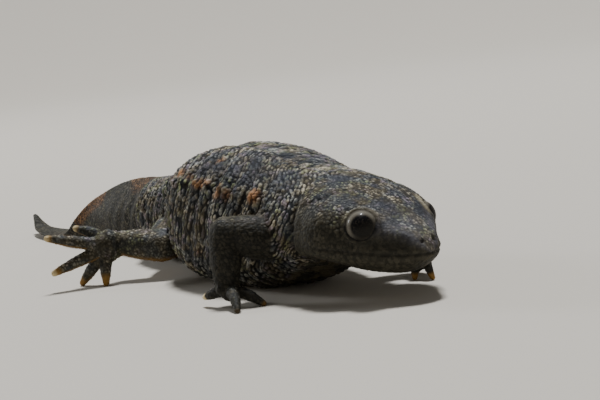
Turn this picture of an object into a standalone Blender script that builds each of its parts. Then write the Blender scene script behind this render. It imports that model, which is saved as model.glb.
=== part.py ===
"""Life-size still model of an Iberian ribbed newt, Pleurodeles waltl, resting on its feet and tail.

+X points along the trunk to the head, +Y to the animal's left and +Z up. The floor is z = 0.
Sizes are in millimetres and are turned into metres as each mesh is made.
"""

import math

import bmesh
import bpy
import numpy as np
from mathutils import Matrix, Vector

MM = 0.001
GAP = 0.3  # clear space between two nodes that touch
MIDDLE = Vector((-32.3, -0.75, 0.0))  # middle of the whole animal, which becomes the origin

# Stations along the body's axis, from the tail's tip to the snout. Each gives the axis point
# (x, y, z), the half width, the reach above and below the axis, how far the section is a flat
# finned tail (0 to 1), and how far the dorsal edge leans to the animal's right, in degrees.
STATIONS = (
    (-117.6, -7.0, 4.2, 0.5, 0.6, 0.6, 1.0, 50),
    (-114.5, -6.9, 2.7, 0.7, 1.7, 1.6, 1.0, 60),
    (-109.5, -6.7, 1.3, 0.9, 2.9, 2.8, 1.0, 78),
    (-101.0, -6.3, 1.0, 1.1, 3.7, 3.6, 1.0, 86),
    (-88.5, -5.5, 1.3, 1.4, 4.4, 4.3, 1.0, 84),
    (-82.0, -5.1, 1.9, 1.8, 4.8, 4.7, 1.0, 74),
    (-76.0, -4.7, 3.4, 2.2, 5.1, 4.9, 1.0, 46),
    (-69.0, -4.1, 5.4, 2.7, 5.7, 5.5, 1.0, 12),
    (-58.0, -3.0, 7.0, 3.3, 7.0, 6.9, 0.95, 0),
    (-49.0, -1.8, 7.8, 3.5, 7.4, 7.6, 0.85, 0),
    (-44.5, -1.2, 8.2, 4.0, 7.2, 7.9, 0.65, 0),
    (-39.5, -0.6, 8.6, 6.6, 6.9, 8.1, 0.2, 0),
    (-33.0, -0.3, 9.2, 7.2, 6.7, 8.3, 0.0, 0),
    (-27.0, -0.2, 9.7, 7.4, 6.8, 8.3, 0.0, 0),
    (-20.0, 0.0, 10.1, 7.8, 7.5, 8.7, 0.0, 0),
    (-12.0, 0.0, 10.4, 9.8, 9.1, 9.7, 0.0, 0),
    (-5.0, 0.0, 10.7, 12.1, 11.1, 10.5, 0.0, 0),
    (2.0, 0.2, 10.8, 13.0, 11.8, 11.0, 0.0, 0),
    (12.0, 0.7, 10.7, 12.5, 11.3, 10.9, 0.0, 0),
    (22.0, 1.1, 10.4, 10.8, 9.9, 9.4, 0.0, 0),
    (28.0, 1.2, 10.1, 9.7, 9.3, 7.0, 0.0, 0),
    (35.0, 2.3, 9.6, 10.2, 9.0, 3.6, 0.0, 0),
    (39.5, 3.5, 9.1, 11.2, 8.2, 3.2, 0.0, 0),
    (43.0, 4.5, 8.6, 10.1, 7.2, 3.7, 0.0, 0),
    (45.9, 5.2, 8.1, 8.4, 6.2, 4.0, 0.0, 0),
    (49.4, 6.3, 7.4, 5.8, 4.4, 3.5, 0.0, 0),
    (52.9, 7.6, 6.9, 4.6, 3.4, 2.1, 0.0, 0),
)
NECK_X, VENT_X, TAIL_CUTS_X = 35.0, -38.0, (-64.0, -91.0)

BACK_SQUARENESS, BELLY_SQUARENESS, JAW_SQUARENESS = 2.5, 2.8, 2.0  # exponents of the rounded section
CHEST_X, JAW_X = 27.0, 38.0  # the belly's squareness turns to the jaw's between these
FIN_HALF_THICKNESS = 0.3
FIN_SWELL, FIN_EDGE = 3.0, 0.5  # exponents of the tail's muscle and of its fin's round edge
FRAME_REACH = 1.5  # how far before and behind a section its direction is measured
SNOUT_ROUNDING = 5.0  # length over which the snout closes
SNOUT_TURNS = (0, 15, 29, 43, 56, 68, 78)  # where its rings lie on the quarter turn, in degrees

TRUNK_COLUMNS, TAIL_COLUMNS, HEAD_SPACING, TAIL_SPACING = 32, 16, 1.2, 2.0
RIB_COUNT, RIB_PITCH, FIRST_RIB_X = 11, 4.4, 24.4
RINGS_PER_RIB = 3
RIB_FOLD_DEPTH, RIB_FOLD_EDGE = 0.22, 0.15  # the folds fade out towards the back and the belly
WART_HEIGHT, WART_RADIUS, WART_ANGLE = 0.8, 1.0, math.radians(30)
BACK_GROOVE_DEPTH, BACK_GROOVE_HALF_WIDTH = 0.4, 1.6
GROOVE_FADE_AT_VENT, GROOVE_FADE_AT_NECK = 10.0, 6.0
GULAR_FOLD_DEPTH, GULAR_FOLD_HALF_WIDTH = 0.7, 0.8
GULAR_FOLD_TOP = 0.6  # how high on the neck it ends, as the sine of the angle round the section
MOUTH_ANGLE, MOUTH_CORNER_X = 0.0, 40.5
MOUTH_DEPTH, LIP_RISE, LIP_ANGLE = 0.5, 0.15, math.radians(4.5)

EYE_RADIUS = 2.4
EYES = {"left": Vector((43.1, 11.3, 11.2)), "right": Vector((48.4, -1.0, 11.8))}
LID_RING_RADIUS, LID_HALF_THICKNESS, LID_OUT = 2.6, 0.5, 0.6
ORBIT_RADIUS, ORBIT_IN = 2.9, 1.15  # the swelling round each eye and how far its middle is sunk
EYE_LOOKS_OUT, EYE_LOOKS_AHEAD, EYE_LOOKS_UP = 0.8, 0.43, 0.4
EYE_RINGS, ORBIT_RINGS, NOSTRIL_RINGS = 10, 8, 5
LID_SPOKES, LID_SIDES = 20, 8
NOSTRIL_RADIUS, NOSTRIL_BACK, NOSTRIL_ANGLE = 0.45, 0.8, math.radians(66)

SKIN_COLOUR, SKIN_ROUGHNESS = (0.045, 0.04, 0.033, 1.0), 0.55
EYE_COLOUR, EYE_ROUGHNESS = (0.42, 0.36, 0.22, 1.0), 0.15


# Scene and mesh helpers


def clear_scene():
    for obj in list(bpy.data.objects):
        bpy.data.objects.remove(obj)


def collection_named(name):
    made = bpy.data.collections.new(name)
    bpy.context.scene.collection.children.link(made)
    return made


def material_named(name, colour, roughness):
    made = bpy.data.materials.new(name)
    made.use_nodes = True
    shader = made.node_tree.nodes["Principled BSDF"]
    shader.inputs["Base Color"].default_value = colour
    shader.inputs["Roughness"].default_value = roughness
    shader.inputs["Metallic"].default_value = 0.0
    made.diffuse_color = colour
    return made


def object_from(name, bm, collection, material=None):
    """Takes a bmesh in millimetres and makes it an object in metres, about the animal's middle."""
    bmesh.ops.recalc_face_normals(bm, faces=bm.faces)
    bmesh.ops.transform(bm, matrix=Matrix.Scale(MM, 4) @ Matrix.Translation(-MIDDLE), verts=bm.verts)
    mesh = bpy.data.meshes.new(name)
    bm.to_mesh(mesh)
    bm.free()
    mesh.shade_smooth()
    made = bpy.data.objects.new(name, mesh)
    collection.objects.link(made)
    if material:
        mesh.materials.append(material)
    return made


def smoothed(knots, values, at):
    """A smooth curve through the values at the knots, which keeps between its neighbours."""
    step = np.diff(knots)
    slope = np.diff(values) / step
    tangent = np.zeros(len(knots))
    rising = slope[:-1] * slope[1:] > 0
    harmonic = 2 * slope[:-1] * slope[1:] / np.where(rising, slope[:-1] + slope[1:], 1.0)
    tangent[1:-1] = np.where(rising, harmonic, 0.0)
    tangent[0] = slope[0]
    tangent[-1] = slope[-1]
    i = int(np.clip(np.searchsorted(knots, at) - 1, 0, len(step) - 1))
    t = (at - knots[i]) / step[i]
    low = (1 + 2 * t) * (1 - t) ** 2 * values[i] + t * (1 - t) ** 2 * step[i] * tangent[i]
    high = t * t * (3 - 2 * t) * values[i + 1] - t * t * (1 - t) * step[i] * tangent[i + 1]
    return float(low + high)


# The body as one analytic form, measured by the distance along its axis

POINTS = np.array([station[:3] for station in STATIONS])
SIZES = np.array([station[3:] for station in STATIONS])
KNOTS = np.concatenate([[0.0], np.cumsum(np.linalg.norm(np.diff(POINTS, axis=0), axis=1))])
LENGTH = KNOTS[-1]


def along_at_x(x):
    return float(np.interp(x, POINTS[:, 0], KNOTS))


def axis_point(along):
    return Vector([smoothed(KNOTS, POINTS[:, i], along) for i in range(3)])


def sizes_at(along):
    return [smoothed(KNOTS, SIZES[:, i], along) for i in range(5)]


def axis_frame(along, roll):
    """The forward, left and up directions of the section there."""
    ahead = axis_point(min(along + FRAME_REACH, LENGTH))
    behind = axis_point(max(along - FRAME_REACH, 0.0))
    forward = (ahead - behind).normalized()
    left = Vector((0, 0, 1)).cross(forward).normalized()
    up = forward.cross(left)
    turn = math.radians(roll)
    return forward, left * math.cos(turn) + up * math.sin(turn), up * math.cos(turn) - left * math.sin(turn)


TRUNK_SPAN = (along_at_x(VENT_X), along_at_x(NECK_X))


def bump(distance, radius):
    """A soft round bump of height one that ends at about twice the radius."""
    return math.exp(-((distance / radius) ** 2))


def surface_detail(along, angle, half_width):
    """How far the skin stands out from the plain form, for the folds, warts and mouth line."""
    raised = 0.0
    facing_up = math.sin(angle)
    flank = max(0.0, math.cos(angle) ** 2 - RIB_FOLD_EDGE)
    first_rib = along_at_x(FIRST_RIB_X)
    rib = round((first_rib - along) / RIB_PITCH)
    on_ribs = 0 <= rib < RIB_COUNT
    from_rib = along - (first_rib - rib * RIB_PITCH)
    if on_ribs:
        raised += RIB_FOLD_DEPTH * flank * math.cos(2 * math.pi * from_rib / RIB_PITCH)
        across = half_width * (math.asin(facing_up) - WART_ANGLE)
        raised += WART_HEIGHT * bump(from_rib, WART_RADIUS) * bump(across, WART_RADIUS)
    vent, neck = TRUNK_SPAN
    if vent < along < neck and facing_up > 0:
        fade = min(1.0, (along - vent) / GROOVE_FADE_AT_VENT, (neck - along) / GROOVE_FADE_AT_NECK)
        raised -= BACK_GROOVE_DEPTH * fade * bump(half_width * math.cos(angle), BACK_GROOVE_HALF_WIDTH)
    under = max(0.0, GULAR_FOLD_TOP - facing_up) / (1 + GULAR_FOLD_TOP)
    raised -= GULAR_FOLD_DEPTH * under * bump(along - neck, GULAR_FOLD_HALF_WIDTH)
    from_mouth = abs(math.asin(facing_up) - MOUTH_ANGLE)
    if along > along_at_x(MOUTH_CORNER_X):
        raised -= MOUTH_DEPTH * bump(from_mouth, LIP_ANGLE / 2)
        raised += LIP_RISE * bump(from_mouth - LIP_ANGLE, LIP_ANGLE)
    return raised


def section_point(along, angle, grow=0.0):
    """The point of the skin at this distance along the axis and this angle round it, from the left."""
    half_width, above, below, finned, roll = sizes_at(along)
    _, left, up = axis_frame(along, roll)
    across, rise = math.cos(angle), math.sin(angle)
    to_jaw = (along - along_at_x(CHEST_X)) / (along_at_x(JAW_X) - along_at_x(CHEST_X))
    under = BELLY_SQUARENESS + (JAW_SQUARENESS - BELLY_SQUARENESS) * min(max(to_jaw, 0.0), 1.0)
    squareness = BACK_SQUARENESS if rise > 0 else under
    trunk = half_width * abs(across) ** (2 / squareness)
    fin = (half_width - FIN_HALF_THICKNESS) * abs(across) ** FIN_SWELL
    fin += FIN_HALF_THICKNESS * abs(across) ** FIN_EDGE
    side = math.copysign((1 - finned) * trunk + finned * fin, across)
    power = (1 - finned) * 2 / squareness + finned
    height = math.copysign((above if rise > 0 else below) * abs(rise) ** power, rise)
    to_snout = max(0.0, along - (LENGTH - SNOUT_ROUNDING)) / SNOUT_ROUNDING
    closing = math.sqrt(max(0.0, 1 - to_snout**2))
    side *= closing
    height *= closing
    outward = Vector((side, height)).normalized() if closing else Vector((1, 0))
    stand = (grow + surface_detail(along, angle, half_width) * closing) * outward
    return axis_point(along) + left * (side + stand.x) + up * (height + stand.y)


def evenly(start, end, spacing):
    count = max(2, round((end - start) / spacing) + 1)
    return [float(a) for a in np.linspace(start, end, count)]


def stops_on_ribs(start, end):
    """The rings of the trunk, so spaced that one falls on each rib."""
    spacing = RIB_PITCH / RINGS_PER_RIB
    behind = int((along_at_x(FIRST_RIB_X) - start) / spacing - 0.5)
    first = along_at_x(FIRST_RIB_X) - behind * spacing
    count = int((end - first) / spacing + 0.5)
    return [start] + [first + i * spacing for i in range(count)] + [end]


def stops_to_snout(start):
    rounding = LENGTH - SNOUT_ROUNDING
    closing = [rounding + SNOUT_ROUNDING * math.sin(math.radians(turn)) for turn in SNOUT_TURNS]
    return evenly(start, rounding, HEAD_SPACING)[:-1] + closing


def ring_angles(columns, crowded=None):
    """Even angles round a section, with three close ones on each side of the body where asked."""
    angles = [2 * math.pi * i / columns for i in range(columns)]
    if crowded is not None:
        near = 0.75 * 2 * math.pi / columns  # an even angle this close to a crowded one is left out
        close = [crowded - LIP_ANGLE, crowded, crowded + LIP_ANGLE]
        close += [math.pi - a for a in close]
        turns = [abs(math.remainder(a - crowded, 2 * math.pi)) for a in angles]
        mirrored = [abs(math.remainder(math.pi - a - crowded, 2 * math.pi)) for a in angles]
        angles = [a for a, one, other in zip(angles, turns, mirrored) if min(one, other) > near]
        angles = sorted(a % (2 * math.pi) for a in angles + close)
    return angles


def loft(bm, rings, tip=None):
    """Skins a row of closed rings of points, with a flat cap at each end or a tip at the last."""
    rows = [[bm.verts.new(p) for p in ring] for ring in rings]
    for row, after in zip(rows, rows[1:]):
        for i in range(len(row)):
            j = (i + 1) % len(row)
            bm.faces.new((row[i], row[j], after[j], after[i]))
    bm.faces.new(rows[0])
    if tip is None:
        bm.faces.new(rows[-1])
        return
    end = bm.verts.new(tip)
    last = rows[-1]
    for i in range(len(last)):
        bm.faces.new((last[i], last[(i + 1) % len(last)], end))


def body_length(stops, angles, grow=0.0, snout=False):
    """One length of the body as a closed form."""
    bm = bmesh.new()
    rings = [[section_point(s, a, grow) for a in angles] for s in stops]
    loft(bm, rings, tip=axis_point(LENGTH) if snout else None)
    bmesh.ops.triangulate(bm, faces=[f for f in bm.faces if len(f.verts) == 4])
    return bm


def largest_surface(obj):
    """Drops every closed surface of the mesh but the largest."""
    bm = bmesh.new()
    bm.from_mesh(obj.data)
    left_over = set(bm.verts)
    groups = []
    while left_over:
        seed = left_over.pop()
        group, edge = {seed}, [seed]
        while edge:
            vert = edge.pop()
            for link in vert.link_edges:
                other = link.other_vert(vert)
                if other in left_over:
                    left_over.discard(other)
                    group.add(other)
                    edge.append(other)
        groups.append(group)
    groups.sort(key=len, reverse=True)
    spare = [v for group in groups[1:] for v in group]
    bmesh.ops.delete(bm, geom=spare, context="VERTS")
    bm.to_mesh(obj.data)
    bm.free()


def combine(obj, others, operation):
    """Joins the other closed meshes to the object, or cuts them from it, and removes them."""
    pieces = bpy.data.collections.new(obj.name + "_pieces")
    for other in others:
        pieces.objects.link(other)
    step = obj.modifiers.new(operation.lower(), "BOOLEAN")
    step.operation = operation
    step.operand_type = "COLLECTION"
    step.collection = pieces
    step.solver = "EXACT"
    bpy.context.view_layer.update()
    graph = bpy.context.evaluated_depsgraph_get()
    mesh = bpy.data.meshes.new_from_object(obj.evaluated_get(graph))
    materials = list(obj.data.materials)
    obj.modifiers.clear()
    old = obj.data
    obj.data = mesh
    bpy.data.meshes.remove(old)
    mesh.materials.clear()
    for material in materials:
        mesh.materials.append(material)
    for other in others:
        bpy.data.objects.remove(other)
    bpy.data.collections.remove(pieces)
    largest_surface(obj)


def keep_above(bm, point, normal):
    """Cuts the mesh flat and keeps the side that the normal points to."""
    everything = list(bm.verts) + list(bm.edges) + list(bm.faces)
    cut = bmesh.ops.bisect_plane(bm, geom=everything, plane_co=point, plane_no=normal, clear_inner=True)
    rim = [e for e in cut["geom_cut"] if isinstance(e, bmesh.types.BMEdge)]
    if rim:
        bmesh.ops.holes_fill(bm, edges=rim)


def flatten_at_floor(obj):
    """Cuts away what would reach below the floor, which leaves the small flats that it rests on."""
    bm = bmesh.new()
    bm.from_mesh(obj.data)
    keep_above(bm, Vector((0, 0, 0)), Vector((0, 0, 1)))
    bm.to_mesh(obj.data)
    bm.free()


# Limbs


def tube(points, radii, sides, flatness=1.0, flat_along=None):
    """A tapering closed tube along the points with round ends, thinner along one direction if asked."""
    bm = bmesh.new()
    path = [Vector(p) for p in points]
    rings = []
    first, last = (path[1] - path[0]).normalized(), (path[-1] - path[-2]).normalized()
    cap_turns = [math.radians(turn) for turn in CAP_TURNS]
    stops = [(path[0] - first * radii[0] * math.sin(t), radii[0] * math.cos(t)) for t in cap_turns]
    stops += list(zip(path, radii))
    stops += [(path[-1] + last * radii[-1] * math.sin(t), radii[-1] * math.cos(t)) for t in reversed(cap_turns)]
    side = first.orthogonal().normalized()
    if flat_along:
        side = (Vector(flat_along) - first * Vector(flat_along).dot(first)).normalized()
    centres = [centre for centre, _ in stops]
    for i, (centre, radius) in enumerate(stops):
        tangent = (centres[min(i + 1, len(centres) - 1)] - centres[max(i - 1, 0)]).normalized()
        side = (side - tangent * side.dot(tangent)).normalized()
        other = tangent.cross(side)
        turns = [2 * math.pi * k / sides for k in range(sides)]
        rings.append([centre + radius * (flatness * math.cos(a) * side + math.sin(a) * other) for a in turns])
    loft(bm, rings)
    return bm


def along_curve(points, count):
    """Points spread along one smooth curve through the given ones, with its place as a share."""
    control = np.array([list(p) for p in points])
    knots = np.concatenate([[0.0], np.cumsum(np.linalg.norm(np.diff(control, axis=0), axis=1))])
    shares = [i / (count - 1) for i in range(count)]
    places = [[smoothed(knots, control[:, i], s * knots[-1]) for i in range(3)] for s in shares]
    return [Vector(p) for p in places], shares


LIMB_SIDES, DIGIT_SIDES = 12, 8
CAP_TURNS = (80, 50, 20)  # where the rings of a tube's round end lie, in degrees
BONE_RINGS, DIGIT_RINGS = 5, 6
UPPER_BULGE, LOWER_BULGE = 0.4, 0.2  # how far a limb's flesh swells between its joints
PALM_BEFORE, PALM_MIDDLE, PALM_AFTER = 0.3, 0.6, 0.35  # shares of the way from the wrist to the palm
PALM_MIDDLE_SHARE, PALM_AFTER_SHARE, PALM_FLATNESS = 0.85, 0.75, 0.62  # of the palm's radius
DIGIT_ROOT = 0.35  # share of the way from the palm to a digit's middle where the digit starts
# Each limb: its joints' centres with their radii, the palm, and each digit's middle and tip.
LIMBS = {
    "right_fore": {
        "root": (28.9, -5.3, 8.9, 3.4),
        "bend": (26.8, -14.1, 11.2, 2.6),
        "end": (27.8, -15.2, 4.4, 2.0),
        "palm": (28.8, -15.3, 3.0),
        "palm_radius": 2.2,
        "palm_flat_along": (0.4, 0.0, 1.0),
        "digits": (
            ((28.1, -12.8, 1.7), (27.4, -11.0, 0.43)),
            ((31.3, -13.2, 1.9), (32.6, -11.4, 0.43)),
            ((32.4, -15.9, 1.9), (34.8, -16.6, 0.43)),
            ((26.3, -17.1, 2.2), (24.0, -17.6, 1.5)),
        ),
        "digit_radii": (0.9, 0.5),
    },
    "left_fore": {
        "root": (25.6, 6.9, 8.8, 3.4),
        "bend": (26.7, 16.8, 9.6, 2.5),
        "end": (31.9, 15.8, 5.2, 2.0),
        "palm": (33.6, 15.3, 3.6),
        "palm_radius": 2.3,
        "palm_flat_along": (0.7, 0.0, 1.0),
        "digits": (
            ((31.8, 14.2, 2.8), (29.4, 14.0, 2.0)),
            ((34.1, 14.1, 2.4), (33.9, 13.9, 0.38)),
            ((36.1, 15.1, 2.8), (36.7, 15.6, 0.38)),
            ((30.6, 17.7, 2.3), (27.6, 17.7, 0.38)),
        ),
        "digit_radii": (0.85, 0.45),
    },
    "right_hind": {
        "root": (-25.5, -3.5, 7.2, 3.8),
        "bend": (-13.5, -11.2, 5.7, 2.8),
        "end": (-17.8, -16.9, 6.8, 2.2),
        "palm": (-17.2, -19.8, 6.8),
        "palm_radius": 3.0,
        "palm_flat_along": (1.0, -0.25, 0.0),
        "digits": (
            ((-16.1, -21.2, 3.2), (-15.6, -21.6, 0.52)),
            ((-18.6, -23.0, 3.0), (-20.7, -24.4, 0.52)),
            ((-17.5, -25.2, 5.0), (-18.0, -30.0, 3.4)),
            ((-17.6, -25.2, 8.2), (-18.2, -30.5, 9.6)),
            ((-18.6, -21.9, 9.2), (-20.0, -24.6, 10.4)),
        ),
        "digit_radii": (1.15, 0.6),
    },
    "left_hind": {
        "root": (-28.0, 2.4, 9.2, 3.6),
        "bend": (-20.6, 12.8, 7.8, 2.8),
        "end": (-24.6, 18.2, 4.0, 2.1),
        "palm": (-25.0, 20.8, 2.1),
        "palm_radius": 2.9,
        "palm_flat_along": (0.0, 0.3, 1.0),
        "digits": (
            ((-22.0, 21.1, 1.6), (-19.6, 21.4, 0.52)),
            ((-22.2, 23.6, 1.8), (-19.8, 25.8, 0.52)),
            ((-24.7, 25.0, 1.9), (-24.0, 29.0, 0.52)),
            ((-27.4, 24.4, 1.9), (-29.3, 28.2, 0.52)),
            ((-28.4, 22.1, 1.6), (-31.3, 23.4, 0.52)),
        ),
        "digit_radii": (1.15, 0.6),
    },
}


def joint_plane(before, joint, after):
    """The plane through a joint that halves its bend, as its point and forward normal."""
    into, out_of = (joint - before).normalized(), (after - joint).normalized()
    return joint, (into + out_of).normalized()


def limb_bone(start, start_radius, end, end_radius, bulge):
    places, shares = along_curve((start, start.lerp(end, 0.5), end), BONE_RINGS)
    radii = [start_radius + (end_radius - start_radius) * s + bulge * math.sin(math.pi * s) for s in shares]
    return tube(places, radii, LIMB_SIDES)


def torso_cutter(cutters):
    """The trunk with clear space round it, which shapes the root of each limb."""
    grown = body_length(stops_on_ribs(*TRUNK_SPAN), ring_angles(TRUNK_COLUMNS, WART_ANGLE), grow=1.1 * GAP)
    return object_from("torso_cutter", grown, cutters)


def make_limb(name, limb, parts, cutters, skin):
    root, bend, end = [Vector(limb[key][:3]) for key in ("root", "bend", "end")]
    root_radius, bend_radius, end_radius = [limb[key][3] for key in ("root", "bend", "end")]
    palm = Vector(limb["palm"])
    elbow, elbow_normal = joint_plane(root, bend, end)
    wrist, wrist_normal = joint_plane(bend, end, palm)
    half_gap = GAP / 2

    upper = limb_bone(root, root_radius, bend, bend_radius, UPPER_BULGE)
    keep_above(upper, elbow - elbow_normal * half_gap, -elbow_normal)
    upper_object = object_from(name + "_upper", upper, parts, skin)
    combine(upper_object, [torso_cutter(cutters)], "DIFFERENCE")

    lower = limb_bone(bend, bend_radius, end, end_radius, LOWER_BULGE)
    keep_above(lower, elbow + elbow_normal * half_gap, elbow_normal)
    keep_above(lower, wrist - wrist_normal * half_gap, -wrist_normal)
    lower_object = object_from(name + "_lower", lower, parts, skin)
    combine(lower_object, [torso_cutter(cutters)], "DIFFERENCE")

    spread = limb["palm_radius"]
    toward = palm - end
    places = [end - toward * PALM_BEFORE, end, end + toward * PALM_MIDDLE, palm, palm + toward * PALM_AFTER]
    radii = [end_radius, end_radius, spread * PALM_MIDDLE_SHARE, spread, spread * PALM_AFTER_SHARE]
    foot = tube(places, radii, LIMB_SIDES, PALM_FLATNESS, limb["palm_flat_along"])
    keep_above(foot, wrist + wrist_normal * half_gap, wrist_normal)
    foot_object = object_from(name + "_foot", foot, parts, skin)
    digits = []
    for number, (middle, tip) in enumerate(limb["digits"]):
        start = palm.lerp(Vector(middle), DIGIT_ROOT)
        points, shares = along_curve((start, middle, tip), DIGIT_RINGS)
        base_radius, tip_radius = limb["digit_radii"]
        radii = [base_radius + (tip_radius - base_radius) * s * s for s in shares]
        digit = object_from(f"{name}_digit_{number}", tube(points, radii, DIGIT_SIDES), cutters)
        digits.append(digit)
    combine(foot_object, digits, "UNION")
    flatten_at_floor(foot_object)


# Head, eyes, trunk and tail


def outward_of(side):
    """The way that the eye of this side looks out of the head, and up."""
    across = (EYES[side] - EYES["left" if side == "right" else "right"]).normalized()
    forward = Vector((abs(across.y), abs(across.x), 0))
    return (EYE_LOOKS_OUT * across + EYE_LOOKS_AHEAD * forward + Vector((0, 0, EYE_LOOKS_UP))).normalized()


def ball(centre, radius, rings):
    bm = bmesh.new()
    bmesh.ops.create_uvsphere(bm, u_segments=2 * rings, v_segments=rings, radius=radius)
    bmesh.ops.translate(bm, verts=bm.verts, vec=centre)
    return bm


def lid_ring(side):
    """The ring of the two lids round an eye."""
    outward = outward_of(side)
    middle = EYES[side] + outward * LID_OUT
    across = outward.orthogonal().normalized()
    over = outward.cross(across)
    bm = bmesh.new()
    rows = []
    for i in range(LID_SPOKES):
        turn = 2 * math.pi * i / LID_SPOKES
        spoke = across * math.cos(turn) + over * math.sin(turn)
        row = []
        for j in range(LID_SIDES):
            tilt = 2 * math.pi * j / LID_SIDES
            out = LID_RING_RADIUS + LID_HALF_THICKNESS * math.cos(tilt)
            row.append(bm.verts.new(middle + spoke * out + outward * LID_HALF_THICKNESS * math.sin(tilt)))
        rows.append(row)
    for i in range(LID_SPOKES):
        row, after = rows[i], rows[(i + 1) % LID_SPOKES]
        for j in range(LID_SIDES):
            k = (j + 1) % LID_SIDES
            bm.faces.new((row[j], row[k], after[k], after[j]))
    return bm


def make_head(parts, cutters, skin):
    stops = stops_to_snout(along_at_x(NECK_X) + GAP / 2)
    bm = body_length(stops, ring_angles(TRUNK_COLUMNS, MOUTH_ANGLE), snout=True)
    head = object_from("head", bm, parts, skin)
    raised, hollows = [], []
    for side, centre in EYES.items():
        orbit = ball(centre - outward_of(side) * ORBIT_IN, ORBIT_RADIUS, ORBIT_RINGS)
        raised.append(object_from("orbit_" + side, orbit, cutters))
        raised.append(object_from("lids_" + side, lid_ring(side), cutters))
        hollows.append(object_from("socket_" + side, ball(centre, EYE_RADIUS + GAP, EYE_RINGS), cutters))
        angle = NOSTRIL_ANGLE if side == "left" else math.pi - NOSTRIL_ANGLE
        place = section_point(LENGTH - NOSTRIL_BACK, angle)
        hollows.append(object_from("nostril_" + side, ball(place, NOSTRIL_RADIUS, NOSTRIL_RINGS), cutters))
    combine(head, raised, "UNION")
    combine(head, hollows, "DIFFERENCE")


def make_eyes(parts, eye):
    for side, centre in EYES.items():
        object_from("eye_" + side, ball(centre, EYE_RADIUS, EYE_RINGS), parts, eye)


def make_trunk_and_tail(parts, skin):
    half_gap = GAP / 2
    vent, neck = TRUNK_SPAN
    torso = body_length(stops_on_ribs(vent + half_gap, neck - half_gap), ring_angles(TRUNK_COLUMNS, WART_ANGLE))
    flatten_at_floor(object_from("torso", torso, parts, skin))
    cuts = [vent] + [along_at_x(x) for x in TAIL_CUTS_X]
    ends = cuts[1:] + [-half_gap]
    for name, front, back in zip(("tail_base", "tail_middle", "tail_tip"), cuts, ends):
        stops = evenly(back + half_gap, front - half_gap, TAIL_SPACING)
        length = body_length(stops, ring_angles(TAIL_COLUMNS))
        flatten_at_floor(object_from(name, length, parts, skin))


def main():
    clear_scene()
    parts, cutters = collection_named("ribbed_newt"), collection_named("cutters")
    skin = material_named("skin", SKIN_COLOUR, SKIN_ROUGHNESS)
    eye = material_named("eye", EYE_COLOUR, EYE_ROUGHNESS)
    make_head(parts, cutters, skin)
    make_eyes(parts, eye)
    make_trunk_and_tail(parts, skin)
    for name, limb in LIMBS.items():
        make_limb(name, limb, parts, cutters, skin)


main()
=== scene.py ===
"""The looks of a life-size Iberian ribbed newt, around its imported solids.

One continuous skin stands for every node of flesh, and each eye is a piece of its own. The skin is
worked out in millimetres, with +X along the trunk to the head, +Y to the animal's left and z = 0
the floor, and it takes its place in the frame, in metres, once its form is done.
"""

import itertools
import math
from types import SimpleNamespace

import bpy
import numpy as np
from mathutils import Matrix, Vector


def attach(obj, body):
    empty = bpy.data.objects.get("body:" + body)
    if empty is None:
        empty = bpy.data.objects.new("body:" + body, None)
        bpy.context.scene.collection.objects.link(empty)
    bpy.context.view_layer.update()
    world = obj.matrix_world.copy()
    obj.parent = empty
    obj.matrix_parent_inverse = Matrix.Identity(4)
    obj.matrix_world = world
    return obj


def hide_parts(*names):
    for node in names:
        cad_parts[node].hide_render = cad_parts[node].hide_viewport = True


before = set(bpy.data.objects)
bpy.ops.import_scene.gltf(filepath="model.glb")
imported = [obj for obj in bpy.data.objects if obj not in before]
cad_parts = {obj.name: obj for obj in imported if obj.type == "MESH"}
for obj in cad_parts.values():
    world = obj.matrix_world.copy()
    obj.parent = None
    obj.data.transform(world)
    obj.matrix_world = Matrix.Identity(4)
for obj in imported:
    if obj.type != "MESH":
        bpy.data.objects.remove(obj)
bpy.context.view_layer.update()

MM = 0.001
MIDDLE = Vector((-32.3, -0.75, 0.0))  # the animal's middle, which is the frame's origin
TO_FRAME = Matrix.Scale(MM, 4) @ Matrix.Translation(-MIDDLE)

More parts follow.
